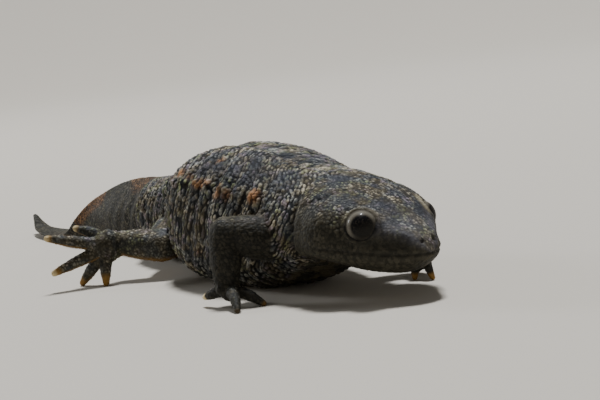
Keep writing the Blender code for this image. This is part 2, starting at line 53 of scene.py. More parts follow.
# Stations along the body's axis, from the tail's tip to the snout. Each gives the axis point
# (x, y, z), the half width, the reach above and below the axis, how far the section is a flat
# finned tail (0 to 1), and how far the dorsal edge leans to the animal's right, in degrees.
STATIONS = (
    (-117.6, -7.0, 4.2, 0.5, 0.6, 0.6, 1.0, 50),
    (-114.5, -6.9, 2.7, 0.7, 1.7, 1.6, 1.0, 60),
    (-109.5, -6.7, 1.3, 0.9, 2.9, 2.8, 1.0, 78),
    (-101.0, -6.3, 1.0, 1.1, 3.7, 3.6, 1.0, 86),
    (-88.5, -5.5, 1.3, 1.4, 4.4, 4.3, 1.0, 84),
    (-82.0, -5.1, 1.9, 1.8, 4.8, 4.7, 1.0, 74),
    (-76.0, -4.7, 3.4, 2.2, 5.1, 4.9, 1.0, 46),
    (-69.0, -4.1, 5.4, 2.7, 5.7, 5.5, 1.0, 12),
    (-58.0, -3.0, 7.0, 3.3, 7.0, 6.9, 0.95, 0),
    (-49.0, -1.8, 7.8, 3.5, 7.4, 7.6, 0.85, 0),
    (-44.5, -1.2, 8.2, 4.0, 7.2, 7.9, 0.65, 0),
    (-39.5, -0.6, 8.6, 6.6, 6.9, 8.1, 0.2, 0),
    (-33.0, -0.3, 9.2, 7.2, 6.7, 8.3, 0.0, 0),
    (-27.0, -0.2, 9.7, 7.4, 6.8, 8.3, 0.0, 0),
    (-20.0, 0.0, 10.1, 7.8, 7.5, 8.7, 0.0, 0),
    (-12.0, 0.0, 10.4, 9.8, 9.1, 9.7, 0.0, 0),
    (-5.0, 0.0, 10.7, 12.1, 11.1, 10.5, 0.0, 0),
    (2.0, 0.2, 10.8, 13.0, 11.8, 11.0, 0.0, 0),
    (12.0, 0.7, 10.7, 12.5, 11.3, 10.9, 0.0, 0),
    (22.0, 1.1, 10.4, 10.8, 9.9, 9.4, 0.0, 0),
    (28.0, 1.2, 10.1, 9.7, 9.3, 7.0, 0.0, 0),
    (35.0, 2.3, 9.6, 10.2, 9.0, 3.6, 0.0, 0),
    (39.5, 3.5, 9.1, 11.2, 8.2, 3.2, 0.0, 0),
    (43.0, 4.5, 8.6, 10.1, 7.2, 3.7, 0.0, 0),
    (45.9, 5.2, 8.1, 8.4, 6.2, 4.0, 0.0, 0),
    (49.4, 6.3, 7.4, 5.8, 4.4, 3.5, 0.0, 0),
    (52.9, 7.6, 6.9, 4.6, 3.4, 2.1, 0.0, 0),
)
NECK_X, VENT_X = 35.0, -38.0
BACK_SQUARENESS, BELLY_SQUARENESS, JAW_SQUARENESS = 2.5, 2.8, 2.0
CHEST_X, JAW_X = 27.0, 38.0  # the belly's squareness turns to the jaw's between these
FIN_HALF_THICKNESS = 0.3
SNOUT_ROUNDING = 5.0  # length over which the snout closes

EYE_RADIUS = 2.4
EYES = {"left": Vector((43.1, 11.3, 11.2)), "right": Vector((48.4, -1.0, 11.8))}
EYE_LOOKS_OUT, EYE_LOOKS_AHEAD, EYE_LOOKS_UP = 0.8, 0.43, 0.4
GAZES = {"left": (0.5, 0.85, 0.1), "right": (0.74, 0.66, 0.09)}  # where each pupil points
SOCKET_IN = 0.35  # how much smaller the socket is than the eye that fills it
LID_RING_RADIUS, LID_HALF_THICKNESS, LID_OUT = 2.5, 0.38, 0.35
ORBIT_RADIUS, ORBIT_IN, ORBIT_CREASE_RADIUS = 2.9, 1.25, 3.3
NOSTRIL_RADIUS, NOSTRIL_BACK, NOSTRIL_ANGLE = 0.45, 0.8, math.radians(66)
MOUTH_CORNER_X = 40.5

RIB_COUNT, RIB_PITCH, FIRST_RIB_X = 11, 4.4, 24.4
FOLD_RADIUS = 11.0  # about the trunk's radius, to turn angles round it into lengths
WART_ANGLE, WART_RADIUS, WART_HEIGHT = math.radians(30), 1.0, 0.6

# Each limb: its joints' centres with their radii, the palm, and each digit's middle and tip.
LIMBS = {
    "right_fore": {
        "root": (28.9, -5.3, 8.9, 3.4),
        "bend": (26.8, -14.1, 11.2, 2.6),
        "end": (27.8, -15.2, 4.4, 2.0),
        "palm": (28.8, -15.3, 3.0),
        "palm_radius": 2.2,
        "palm_flat_along": (0.4, 0.0, 1.0),
        "digits": (
            ((28.1, -12.8, 1.7), (27.4, -11.0, 0.43)),
            ((31.3, -13.2, 1.9), (32.6, -11.4, 0.43)),
            ((32.4, -15.9, 1.9), (34.8, -16.6, 0.43)),
            ((26.3, -17.1, 2.2), (24.0, -17.6, 1.5)),
        ),
        "digit_radii": (0.9, 0.5),
    },
    "left_fore": {
        "root": (25.6, 6.9, 8.8, 3.4),
        "bend": (26.7, 16.8, 9.6, 2.5),
        "end": (31.9, 15.8, 5.2, 2.0),
        "palm": (33.6, 15.3, 3.6),
        "palm_radius": 2.3,
        "palm_flat_along": (0.7, 0.0, 1.0),
        "digits": (
            ((31.8, 14.2, 2.8), (29.4, 14.0, 2.0)),
            ((34.1, 14.1, 2.4), (33.9, 13.9, 0.38)),
            ((36.1, 15.1, 2.8), (36.7, 15.6, 0.38)),
            ((30.6, 17.7, 2.3), (27.6, 17.7, 0.38)),
        ),
        "digit_radii": (0.85, 0.45),
    },
    "right_hind": {
        "root": (-25.5, -3.5, 7.2, 3.8),
        "bend": (-13.5, -11.2, 5.7, 2.8),
        "end": (-17.8, -16.9, 6.8, 2.2),
        "palm": (-17.2, -19.8, 6.8),
        "palm_radius": 3.0,
        "palm_flat_along": (1.0, -0.25, 0.0),
        "digits": (
            ((-16.1, -21.2, 3.2), (-15.6, -21.6, 0.52)),
            ((-18.6, -23.0, 3.0), (-20.7, -24.4, 0.52)),
            ((-17.5, -25.2, 5.0), (-18.0, -30.0, 3.4)),
            ((-17.6, -25.2, 8.2), (-18.2, -30.5, 9.6)),
            ((-18.6, -21.9, 9.2), (-20.0, -24.6, 10.4)),
        ),
        "digit_radii": (1.15, 0.6),
    },
    "left_hind": {
        "root": (-28.0, 2.4, 9.2, 3.6),
        "bend": (-20.6, 12.8, 7.8, 2.8),
        "end": (-24.6, 18.2, 4.0, 2.1),
        "palm": (-25.0, 20.8, 2.1),
        "palm_radius": 2.9,
        "palm_flat_along": (0.0, 0.3, 1.0),
        "digits": (
            ((-22.0, 21.1, 1.6), (-19.6, 21.4, 0.52)),
            ((-22.2, 23.6, 1.8), (-19.8, 25.8, 0.52)),
            ((-24.7, 25.0, 1.9), (-24.0, 29.0, 0.52)),
            ((-27.4, 24.4, 1.9), (-29.3, 28.2, 0.52)),
            ((-28.4, 22.1, 1.6), (-31.3, 23.4, 0.52)),
        ),
        "digit_radii": (1.15, 0.6),
    },
}

UPPER_BULGE, LOWER_BULGE = 0.4, 0.2  # how far a limb's flesh swells between its joints
PALM_BEFORE, PALM_MIDDLE, PALM_AFTER = 0.3, 0.6, 0.35  # shares of the way from the wrist to the palm
PALM_MIDDLE_SHARE, PALM_AFTER_SHARE, PALM_FLATNESS = 0.85, 0.75, 0.62  # of the palm's radius
DIGIT_ROOT = 0.35  # share of the way from the palm to a digit's middle where the digit starts

VOXEL = 0.17  # size of the skin's faces


# Curves and the body as one analytic form, measured by the distance along its axis


def unit(vectors):
    return vectors / np.linalg.norm(vectors, axis=-1, keepdims=True)


def smoothed(knots, values, at):
    """Smooth curves through the rows of values at the knots, which keep between their neighbours."""
    step = np.diff(knots)[:, None]
    slope = np.diff(values, axis=0) / step
    rising = slope[:-1] * slope[1:] > 0
    harmonic = 2 * slope[:-1] * slope[1:] / np.where(rising, slope[:-1] + slope[1:], 1.0)
    tangent = np.vstack([slope[:1], np.where(rising, harmonic, 0.0), slope[-1:]])
    i = np.clip(np.searchsorted(knots, at) - 1, 0, len(step) - 1)
    wide = step[i]
    t = ((at - knots[i]) / wide[:, 0])[:, None]
    low = (1 + 2 * t) * (1 - t) ** 2 * values[i] + t * (1 - t) ** 2 * wide * tangent[i]
    high = t * t * (3 - 2 * t) * values[i + 1] - t * t * (1 - t) * wide * tangent[i + 1]
    return low + high


def knots_along(points):
    return np.concatenate([[0.0], np.cumsum(np.linalg.norm(np.diff(points, axis=0), axis=1))])


POINTS = np.array([station[:3] for station in STATIONS])
SIZES = np.array([station[3:] for station in STATIONS])
KNOTS = knots_along(POINTS)
LENGTH = KNOTS[-1]


def along_at_x(x):
    return float(np.interp(x, POINTS[:, 0], KNOTS))


def axis_points(along):
    return smoothed(KNOTS, POINTS, along)


def axis_frames(along):
    """The forward, left and up directions of the sections there, leaned as the tail leans."""
    reach = 1.5
    ahead, behind = np.minimum(along + reach, LENGTH), np.maximum(along - reach, 0)
    forward = unit(axis_points(ahead) - axis_points(behind))
    left = unit(np.cross([0.0, 0.0, 1.0], forward))
    up = np.cross(forward, left)
    lean = np.radians(smoothed(KNOTS, SIZES, along)[:, 4:])
    return forward, left * np.cos(lean) + up * np.sin(lean), up * np.cos(lean) - left * np.sin(lean)


def underside_squareness(along):
    to_jaw = (along - along_at_x(CHEST_X)) / (along_at_x(JAW_X) - along_at_x(CHEST_X))
    return BELLY_SQUARENESS + (JAW_SQUARENESS - BELLY_SQUARENESS) * np.clip(to_jaw, 0, 1)


def snout_closing(along):
    to_snout = np.clip(along - (LENGTH - SNOUT_ROUNDING), 0, SNOUT_ROUNDING) / SNOUT_ROUNDING
    return np.sqrt(1 - to_snout**2)


def body_surface(along, angle):
    """Points of the plain body at these distances along the axis and angles round it, from the left."""
    half_width, above, below, finned, _ = smoothed(KNOTS, SIZES, along).T
    _, left, up = axis_frames(along)
    across, rise = np.cos(angle), np.sin(angle)
    squareness = np.where(rise > 0, BACK_SQUARENESS, underside_squareness(along))
    trunk = half_width * abs(across) ** (2 / squareness)
    fin = (half_width - FIN_HALF_THICKNESS) * abs(across) ** 3 + FIN_HALF_THICKNESS * abs(across) ** 0.5
    side = np.sign(across) * ((1 - finned) * trunk + finned * fin) * snout_closing(along)
    power = (1 - finned) * 2 / squareness + finned
    height = np.sign(rise) * np.where(rise > 0, above, below) * abs(rise) ** power * snout_closing(along)
    return axis_points(along) + left * side[:, None] + up * height[:, None]


# Closed forms, each as an array of points and a list of faces


def lofted(rings):
    """A closed form through rows of points."""
    rows, columns, _ = rings.shape
    index = np.arange(rows * columns).reshape(rows, columns)
    after = np.roll(index, -1, axis=1)
    quads = np.stack([index[:-1], after[:-1], after[1:], index[1:]], axis=-1).reshape(-1, 4)
    return rings.reshape(-1, 3), quads.tolist() + [index[0, ::-1].tolist(), index[-1].tolist()]


def body_form():
    spacing, columns, last_turn = 0.5, 180, math.radians(86)
    straight = np.arange(0.0, LENGTH - SNOUT_ROUNDING, spacing)
    rounding = LENGTH - SNOUT_ROUNDING * (1 - np.sin(np.linspace(0, last_turn, 24)))
    along = np.concatenate([straight, rounding])
    angles = np.linspace(0, 2 * math.pi, columns, endpoint=False)
    points = body_surface(np.repeat(along, columns), np.tile(angles, len(along)))
    return lofted(points.reshape(len(along), columns, 3))


def tube(controls, radii, flat_along=None, flatness=1.0):
    """A round-ended tube along a smooth curve, thinner along one direction if asked."""
    spacing, sides, cap = 0.3, 24, np.radians([80, 60, 40, 20])
    controls = np.array(controls, float)
    knots = knots_along(controls)
    at = np.linspace(0, knots[-1], max(3, int(knots[-1] / spacing)))
    centres = smoothed(knots, controls, at)
    sizes = smoothed(knots, np.array(radii, float)[:, None], at)[:, 0]
    first, last = unit(centres[1] - centres[0]), unit(centres[-1] - centres[-2])
    starts = centres[0] - np.outer(sizes[0] * np.sin(cap), first)
    ends = centres[-1] + np.outer(sizes[-1] * np.sin(cap[::-1]), last)
    centres = np.vstack([starts, centres, ends])
    sizes = np.concatenate([sizes[0] * np.cos(cap), sizes, sizes[-1] * np.cos(cap[::-1])])
    tangents = unit(np.gradient(centres, axis=0))
    side = np.array(flat_along if flat_along else Vector(first).orthogonal())
    turns = np.linspace(0, 2 * math.pi, sides, endpoint=False)[:, None]
    rings = []
    for centre, size, tangent in zip(centres, sizes, tangents):
        side = unit(side - tangent * side.dot(tangent))
        other = np.cross(tangent, side)
        rings.append(centre + size * (flatness * np.cos(turns) * side + np.sin(turns) * other))
    return lofted(np.array(rings))


def limb_forms(limb):
    """The fleshy tubes of one limb, from inside the body out to its digits' tips."""
    root, bend, end = [np.array(limb[key][:3]) for key in ("root", "bend", "end")]
    root_size, bend_size, end_size = [limb[key][3] for key in ("root", "bend", "end")]
    palm, spread = np.array(limb["palm"]), limb["palm_radius"]
    half_upper, half_lower = (root + bend) / 2, (bend + end) / 2
    upper_size = (root_size + bend_size) / 2 + UPPER_BULGE
    lower_size = (bend_size + end_size) / 2 + LOWER_BULGE
    forms = [
        tube([root, half_upper, bend], [root_size, upper_size, bend_size]),
        tube([bend, half_lower, end], [bend_size, lower_size, end_size]),
    ]
    toward = palm - end
    places = [end - toward * PALM_BEFORE, end, end + toward * PALM_MIDDLE, palm, palm + toward * PALM_AFTER]
    sizes = [end_size, end_size, spread * PALM_MIDDLE_SHARE, spread, spread * PALM_AFTER_SHARE]
    forms.append(tube(places, sizes, limb["palm_flat_along"], PALM_FLATNESS))
    base, tip = limb["digit_radii"]
    for middle, point in limb["digits"]:
        path = [palm + (np.array(middle) - palm) * DIGIT_ROOT, middle, point]
        share = knots_along(np.array(path)) / knots_along(np.array(path))[-1]
        forms.append(tube(path, base + (tip - base) * share**2))
    return forms


def object_of(forms, name):
    """One mesh object in millimetres from several closed forms."""
    points, faces, count = [], [], 0
    for form_points, form_faces in forms:
        points.append(form_points)
        faces += [[i + count for i in face] for face in form_faces]
        count += len(form_points)
    mesh = bpy.data.meshes.new(name)
    mesh.from_pydata(np.vstack(points).tolist(), [], faces)
    made = bpy.data.objects.new(name, mesh)
    bpy.context.scene.collection.objects.link(made)
    return made


def taken(obj):
    """Takes a primitive that an operator has just made out of its placing, and returns its form."""
    obj.data.transform(obj.matrix_world)
    points = np.empty(len(obj.data.vertices) * 3)
    obj.data.vertices.foreach_get("co", points)
    faces = [list(face.vertices) for face in obj.data.polygons]
    bpy.data.objects.remove(obj)
    return points.reshape(-1, 3), faces


def ball(centre, radius):
    bpy.ops.mesh.primitive_uv_sphere_add(segments=48, ring_count=24, radius=radius, location=centre)
    bpy.context.view_layer.update()
    return taken(bpy.context.object)


def from_head(side, out, ahead, above):
    """A direction from the head by its shares to this side, ahead and up."""
    across = (EYES[side] - EYES["left" if side == "right" else "right"]).normalized()
    forward = Vector((abs(across.y), abs(across.x), 0))
    return (out * across + ahead * forward + Vector((0, 0, above))).normalized()


def outward_of(side):
    """The way that the lids of this side open."""
    return from_head(side, EYE_LOOKS_OUT, EYE_LOOKS_AHEAD, EYE_LOOKS_UP)


def gaze_of(side):
    return from_head(side, *GAZES[side])


def nostril_place(side):
    angle = NOSTRIL_ANGLE if side == "left" else math.pi - NOSTRIL_ANGLE
    return body_surface(np.array([LENGTH - NOSTRIL_BACK]), np.array([angle]))[0]


def lid_ring(side):
    outward = outward_of(side)
    bpy.ops.mesh.primitive_torus_add(
        major_segments=64,
        minor_segments=20,
        major_radius=LID_RING_RADIUS,
        minor_radius=LID_HALF_THICKNESS,
        location=EYES[side] + outward * LID_OUT,
        rotation=outward.to_track_quat("Z", "Y").to_euler(),
    )
    bpy.context.view_layer.update()
    return taken(bpy.context.object)


def apply_step(obj, kind, **settings):
    """Adds one modifier to the object and makes its result the object's mesh."""
    step = obj.modifiers.new(kind.lower(), kind)
    for key, value in settings.items():
        setattr(step, key, value)
    graph = bpy.context.evaluated_depsgraph_get()
    old = obj.data
    obj.data = bpy.data.meshes.new_from_object(obj.evaluated_get(graph))
    obj.modifiers.clear()
    bpy.data.meshes.remove(old)


def whole_form():
    """The body, limbs and lids as one even mesh, with the sockets and nostrils hollowed."""
    forms = [body_form()]
    for limb in LIMBS.values():
        forms += limb_forms(limb)
    hollows = []
    for side, centre in EYES.items():
        forms.append(ball(centre - outward_of(side) * ORBIT_IN, ORBIT_RADIUS))
        forms.append(lid_ring(side))
        hollows.append(ball(centre, EYE_RADIUS - SOCKET_IN))
        hollows.append(ball(nostril_place(side), NOSTRIL_RADIUS))
    skin = object_of(forms, "skin")
    apply_step(skin, "REMESH", mode="VOXEL", voxel_size=VOXEL)
    cutter = object_of(hollows, "cutter")
    apply_step(skin, "BOOLEAN", operation="DIFFERENCE", solver="MANIFOLD", object=cutter)
    bpy.data.objects.remove(cutter)
    apply_step(skin, "REMESH", mode="VOXEL", voxel_size=VOXEL)
    return skin


# Points of the skin, and where each lies on the animal

FAR = 99.0  # distances are counted no further than this
LIMBS_END_X, LIMB_REACH = 38.0, 2.5  # a limb's skin is behind the first, and no further off than the second
UPPER_RADIUS, LOWER_RADIUS, PALM_RADIUS, DIGIT_RADIUS = 3.0, 2.4, 2.2, 1.0  # roughly, of every limb

# How far from each digit's end its cream tip and the orange above it reach, in the limb's order
TIP_TINTS = {
    "right_fore": ((0, 0.6), (0, 0.6), (0, 0.5), (0.95, 1.5)),
    "left_fore": ((0, 1.2), (0, 1.3), (0, 1.3), (0, 1.2)),
    "right_hind": ((0, 2.2), (0, 2.2), (0.5, 1.9), (0.45, 1.2), (0.45, 1.0)),
    "left_hind": ((0, 1.6), (0, 1.6), (0.45, 1.5), (0.45, 1.3), (0.45, 1.3)),
}


def numbers_of(items, name, width):
    found = np.empty(len(items) * width)
    items.foreach_get(name, found)
    return found.reshape(-1, width)


def edges_of(mesh):
    found = np.empty(len(mesh.edges) * 2, int)
    mesh.edges.foreach_get("vertices", found)
    return found.reshape(-1, 2)


def relaxed(places, edges, weight, rounds):
    """Evens the surface out where the weight is high, by moving points to their neighbours' middle."""
    count = len(places)
    first, second = edges.T
    links = np.bincount(edges.ravel(), minlength=count)
    for _ in range(rounds):
        middle = np.empty_like(places)
        for axis in range(3):
            total = np.bincount(first, places[second, axis], count)
            total += np.bincount(second, places[first, axis], count)
            middle[:, axis] = total / links
        places = places + weight[:, None] * (middle - places)
    return places


def eased(low, high, value):
    """Rises smoothly from 0 at the low value to 1 at the high one."""
    t = np.clip((value - low) / (high - low), 0, 1)
    return t * t * (3 - 2 * t)


def hump(distance, radius):
    return np.exp(-((distance / radius) ** 2))


def from_path(places, path):
    """The distance of each place from a path of straight stretches."""
    nearest = np.full(len(places), FAR)
    for start, end in itertools.pairwise(np.array(path, float)):
        bone = end - start
        share = np.clip((places - start) @ bone / bone.dot(bone), 0, 1)
        nearest = np.minimum(nearest, np.linalg.norm(places - start - share[:, None] * bone, axis=1))
    return nearest


def limb_distances(places):
    """How far each place is from a limb's flesh, from its nearest joint and from its nearest tip,
    and how far each is in a digit's cream tip and in the orange above it."""
    limb, joint, tip = np.full((3, len(places)), FAR)
    cream, orange = np.zeros((2, len(places)))
    for name, data in LIMBS.items():
        root, bend, end = [data[key][:3] for key in ("root", "bend", "end")]
        palm = data["palm"]
        bones = [((root, bend), UPPER_RADIUS), ((bend, end), LOWER_RADIUS), ((end, palm), PALM_RADIUS)]
        for (middle, point), (cream_reach, orange_reach) in zip(data["digits"], TIP_TINTS[name]):
            bones.append(((palm, middle, point), DIGIT_RADIUS))
            from_tip = np.linalg.norm(places - point, axis=1)
            tip = np.minimum(tip, from_tip)
            cream = np.maximum(cream, 1 - eased(0.6 * cream_reach, 1.4 * cream_reach + 0.2, from_tip))
            orange = np.maximum(orange, 1 - eased(0.4 * orange_reach, orange_reach, from_tip))
        for path, radius in bones:
            limb = np.minimum(limb, from_path(places, path) - radius)
        for place in (bend, end):
            joint = np.minimum(joint, np.linalg.norm(places - place, axis=1))
    return limb, joint, tip, cream, orange


def where(places):
    """Body coordinates of the places: along the axis, round it, off the plain body and on a limb."""
    along = np.interp(places[:, 0], POINTS[:, 0], KNOTS)
    for _ in range(4):
        forward, left, up = axis_frames(along)
        away = places - axis_points(along)
        along = np.clip(along + (away * forward).sum(1), 0, LENGTH)
    half_width, above, below, finned, _ = smoothed(KNOTS, SIZES, along).T
    side, height = (away * left).sum(1), (away * up).sum(1)
    squareness = np.where(height > 0, BACK_SQUARENESS, underside_squareness(along))
    share_out = abs(side) / half_width
    share_up = abs(height) / np.where(height > 0, above, below)
    turn = np.arctan2(share_up ** (squareness / 2), share_out ** (squareness / 2)) * np.sign(height)
    share = (share_out**squareness + share_up**squareness) ** (1 / squareness)
    off = (share - snout_closing(along)) * np.hypot(side, height) / np.maximum(share, 1e-6)
    limb, joint, tip, cream, orange = limb_distances(places)
    on_limb = eased(0.1, 0.9, off) * (places[:, 0] < LIMBS_END_X) * (limb < LIMB_REACH)
    return SimpleNamespace(
        place=places,
        along=along,
        side=side,
        height=height,
        turn=turn,
        upward=np.sin(turn),
        half_width=half_width,
        finned=finned,
        off=off,
        limb=limb,
        on_limb=on_limb,
        joint=joint,
        tip=tip,
        cream=cream,
        orange=orange,
    )


# Seeded random patterns


def scrambled(cells, seed):
    """A random number from 0 to 1 for each whole-numbered cell, the same on every run."""
    primes = np.array([73856093, 19349663, 83492791])[: cells.shape[1]]
    mixed = (cells.astype(np.int64) * primes).sum(1) + seed * 2654435761
    mixed = (mixed ^ (mixed >> 15)) * 2246822519 & 0xFFFFFFFF
    mixed = (mixed ^ (mixed >> 13)) * 3266489917 & 0xFFFFFFFF
    return (mixed ^ (mixed >> 16)) / 0xFFFFFFFF


def pebbles(places, seed, jitter):
    """Pebbles that fill space, one to a unit cell: how far inside its own each place is, from 0 at
    the edge to about 1, and its number from 0 to 1."""
    dimensions = places.shape[1]
    home = np.floor(places)
    nearest, second = np.full((2, len(places)), FAR)
    number = np.zeros(len(places))
    for step in itertools.product((-1, 0, 1), repeat=dimensions):
        cell = home + step
        middle = np.stack([scrambled(cell, seed + 7 * axis) for axis in range(dimensions)], axis=1)
        away = np.linalg.norm(places - cell - 0.5 - jitter * (middle - 0.5), axis=1)
        closer = away < nearest
        number = np.where(closer, scrambled(cell, seed + 50), number)
        second = np.where(closer, nearest, np.minimum(second, away))
        nearest = np.where(closer, away, nearest)
    return second - nearest, number


def beads(places, seed, jitter, reach):
    """Separate beads, one in each unit cell, of about this reach in each direction: how high each
    place is on its bead, from 0 between them to 1 on a large one's top, and the bead's own number."""
    home = np.floor(places)
    rise, number = np.zeros((2, len(places)))
    for step in itertools.product((-1, 0, 1), repeat=2):
        cell = home + step
        middle = np.stack([scrambled(cell, seed + 7 * axis) for axis in range(2)], axis=1)
        size = 0.65 + 0.5 * scrambled(cell, seed + 40)
        away = (places - cell - 0.5 - jitter * (middle - 0.5)) / reach
        dome = np.clip(1 - (away**2).sum(1) / size**2, 0, 1) * size
        number = np.where(dome > rise, scrambled(cell, seed + 50), number)
        rise = np.maximum(rise, dome)
    return rise, number


def clouded(places, seed):
    """Smooth noise from 0 to 1 with features about one unit wide."""
    home = np.floor(places)
    t = places - home
    t = t * t * (3 - 2 * t)
    total = np.zeros(len(places))
    for corner in itertools.product((0, 1), repeat=places.shape[1]):
        weight = np.prod(np.where(np.array(corner) == 1, t, 1 - t), axis=1)
        total += weight * scrambled(home + corner, seed)
    return total


# The skin's relief

ROWS_PER_RIB, BEAD_PITCH = 4.6, 0.85  # the trunk's granules stand in rows along its folds
ROW_JITTER, BEAD_REACH = np.array([0.5, 0.9]), np.array([0.44, 0.74])
FOLD_RISE, FOLD_BOW = 0.8, 1.45  # the folds lean ahead low on the flank, and back nearer the spine
FINE_PITCH, FINE_JITTER = 0.56, 0.95  # the granules on the head, limbs and tail
FINE_BETWEEN = 0.15  # how high the fine granules stand between the trunk's rows
TRUNK_RELIEF, HEAD_RELIEF, LIMB_RELIEF, TAIL_RELIEF = 0.31, 0.12, 0.1, 0.08
FOLDS_END_X = -70.0  # the folds between the ribs go on as the tail's muscles, to here
FOLD_DEPTH, MUSCLE_DEPTH = 0.26, 0.14
GROOVE_DEPTH, GROOVE_WIDTH = 0.4, 1.6  # along the back
GULAR_DEPTH, GULAR_WIDTH, GULAR_SWELLING = 0.7, 0.8, 0.3  # of the fold across the throat
WRINKLE_DEPTH, WRINKLE_PITCH, WRINKLE_REACH = 0.08, 1.1, 3.2  # round each limb's joints

# Lines of the head, as how far ahead of the neck, to the side and up they lie
FURROW = (
    (1.2, 9.3, 5.0),
    (1.9, 8.9, 5.8),
    (2.7, 8.5, 6.2),
    (3.9, 8.0, 6.6),
    (4.5, 6.6, 7.2),
    (5.2, 4.3, 7.7),
)
CANTHUS = ((12.8, 6.6, 3.6), (14.5, 5.0, 3.2), (16.2, 3.4, 2.8), (17.6, 1.9, 2.1))
LORE = ((12.6, 7.2, 1.9), (14.5, 5.6, 1.7), (16.3, 4.0, 1.4))
TEMPLE = (6.5, 10.0, 3.4)
FURROW_DEPTH, FURROW_WIDTH = 0.24, 0.45
CANTHUS_HEIGHT, CANTHUS_WIDTH = 0.2, 0.8
LORE_DEPTH, LORE_WIDTH = 0.28, 1.1
TEMPLE_HEIGHT, TEMPLE_WIDTH = 0.35, 2.8
MOUTH_DEPTH, MOUTH_WIDTH = 0.25, 0.22
LIP_UP, LIP_HEIGHT, LIP_WIDTH = 0.6, 0.1, 0.45

ORBIT_CREASE_DEPTH, ORBIT_CREASE_WIDTH = 0.14, 0.3
LID_WIDTH, LID_PALENESS = 0.7, {"left": 1.0, "right": 0.3}
NOSTRIL_RIM_RADIUS, NOSTRIL_RIM_HEIGHT, NOSTRIL_RIM_WIDTH = 0.75, 0.05, 0.3
NOSTRIL_SHADE_RADIUS = 0.38


def regions(at):
    """How far each place belongs to each region of the body."""
    neck, vent = along_at_x(NECK_X), along_at_x(VENT_X)
    body = 1 - at.on_limb
    head = body * eased(neck - 1.5, neck + 1.5, at.along)
    tail = body * (1 - eased(vent - 5, vent + 3, at.along))
    arms = at.on_limb * (at.place[:, 0] > 0)
    return SimpleNamespace(
        body=body,
        head=head,
        snout=head * eased(10, 14, at.along - neck),
        trunk=np.clip(body - head - tail, 0, 1),
        tail=tail,
        limbs=at.on_limb,
        arms=arms,
        legs=at.on_limb - arms,
    )


def rib_number(at):
    """Which rib each place lies over, as a fraction, along folds that bow on the flank."""
    turn = np.maximum(at.turn, -0.6)
    ahead = FOLD_RADIUS * (FOLD_RISE * turn - FOLD_BOW * np.maximum(turn, 0) ** 2 / 2)
    wart_ahead = FOLD_RADIUS * (FOLD_RISE * WART_ANGLE - FOLD_BOW * WART_ANGLE**2 / 2)
    sway = 0.12 * clouded(at.place / 4.0, 63) + 0.07 * clouded(at.place / 1.5, 64)
    return (along_at_x(FIRST_RIB_X) - at.along + ahead - wart_ahead) / RIB_PITCH + sway - 0.1


def granule_field(at, on, ribs):
    """The granules of the whole skin: rows round the trunk, and finer ones between and elsewhere.
    Gives how high each place is on its granule, and the granule's own number from 0 to 1."""
    left_side = 500.0  # far enough along the rows for the left flank to have granules of its own
    round_body = (at.turn + math.pi / 2) * FOLD_RADIUS + np.where(at.side > 0, left_side, 0.0)
    rows = ROWS_PER_RIB * ribs + 0.5 * clouded(at.place / 1.3, 65)
    on_row = round_body / BEAD_PITCH + 0.6 * clouded(at.place / 1.3, 66)
    trunk_rise, number = beads(np.stack([rows, on_row], axis=1), 3, ROW_JITTER, BEAD_REACH)
    inside, fine_number = pebbles(at.place / FINE_PITCH, 11, FINE_JITTER)
    fine_rise = eased(0.04, 0.45, inside) * (0.65 + 0.35 * fine_number)
    rise = on.trunk * np.maximum(trunk_rise, FINE_BETWEEN * fine_rise) + (1 - on.trunk) * fine_rise
    tone = np.where(on.trunk > 0.5, number, fine_number)
    return rise, (7.3 * tone) % 1


def trunk_relief(at, on, ribs):
    """Folds between the ribs, warts over the ribs' ends, the back's groove and the tail's muscles, with
    shade painted into the folds' valleys.
    """
    from_first = (along_at_x(FIRST_RIB_X) - at.along) / RIB_PITCH
    folds_end = along_at_x(FOLDS_END_X)
    folds = eased(-1, -0.3, from_first) * eased(folds_end, folds_end + 25, at.along)
    flank = 1 - 0.75 * eased(0.75, 1.5, at.turn)
    valley = folds * flank * np.cos(2 * math.pi * ribs)
    height = (FOLD_DEPTH * on.trunk + MUSCLE_DEPTH * on.tail) * valley
    rib = np.clip(np.round(from_first), 0, RIB_COUNT - 1)
    from_rib = at.along - (along_at_x(FIRST_RIB_X) - rib * RIB_PITCH)
    from_wart = at.half_width * (at.turn - WART_ANGLE)
    height += on.trunk * WART_HEIGHT * hump(from_rib, WART_RADIUS) * hump(from_wart, WART_RADIUS)
    vent, neck = along_at_x(VENT_X), along_at_x(NECK_X)
    groove = (at.turn > 0) * eased(vent, vent + 10, at.along) * (1 - eased(neck - 6, neck, at.along))
    height -= GROOVE_DEPTH * on.trunk * groove * hump(at.side, GROOVE_WIDTH)
    # Painted shade in the folds' valleys
    return height, (on.trunk + on.tail) * np.clip(-valley, 0, 1)


def head_relief(at):
    """Furrow, ridges and swellings of the head, with its mouth and lips, and shade painted into the furrow,
    the lore and the mouth's line.
    """
    spot = np.stack([at.along - along_at_x(NECK_X), abs(at.side), at.height], axis=1)
    furrow = hump(from_path(spot, FURROW), FURROW_WIDTH)
    lore = hump(from_path(spot, LORE), LORE_WIDTH)
    height = CANTHUS_HEIGHT * hump(from_path(spot, CANTHUS), CANTHUS_WIDTH)
    height += TEMPLE_HEIGHT * hump(np.linalg.norm(spot - TEMPLE, axis=1), TEMPLE_WIDTH)
    height -= FURROW_DEPTH * furrow + LORE_DEPTH * lore
    corner = along_at_x(MOUTH_CORNER_X)
    in_mouth = eased(corner - 1, corner + 1, at.along)
    height += in_mouth * LIP_HEIGHT * hump(at.height - LIP_UP, LIP_WIDTH)
    height -= in_mouth * MOUTH_DEPTH * hump(at.height, MOUTH_WIDTH)
    # Painted shade along the mouth's line, and in the furrow and lore
    mouth_line_shade = 0.5 * in_mouth * hump(at.height, 0.25)
    return height, np.maximum.reduce([mouth_line_shade, 0.3 * furrow, 0.4 * lore])


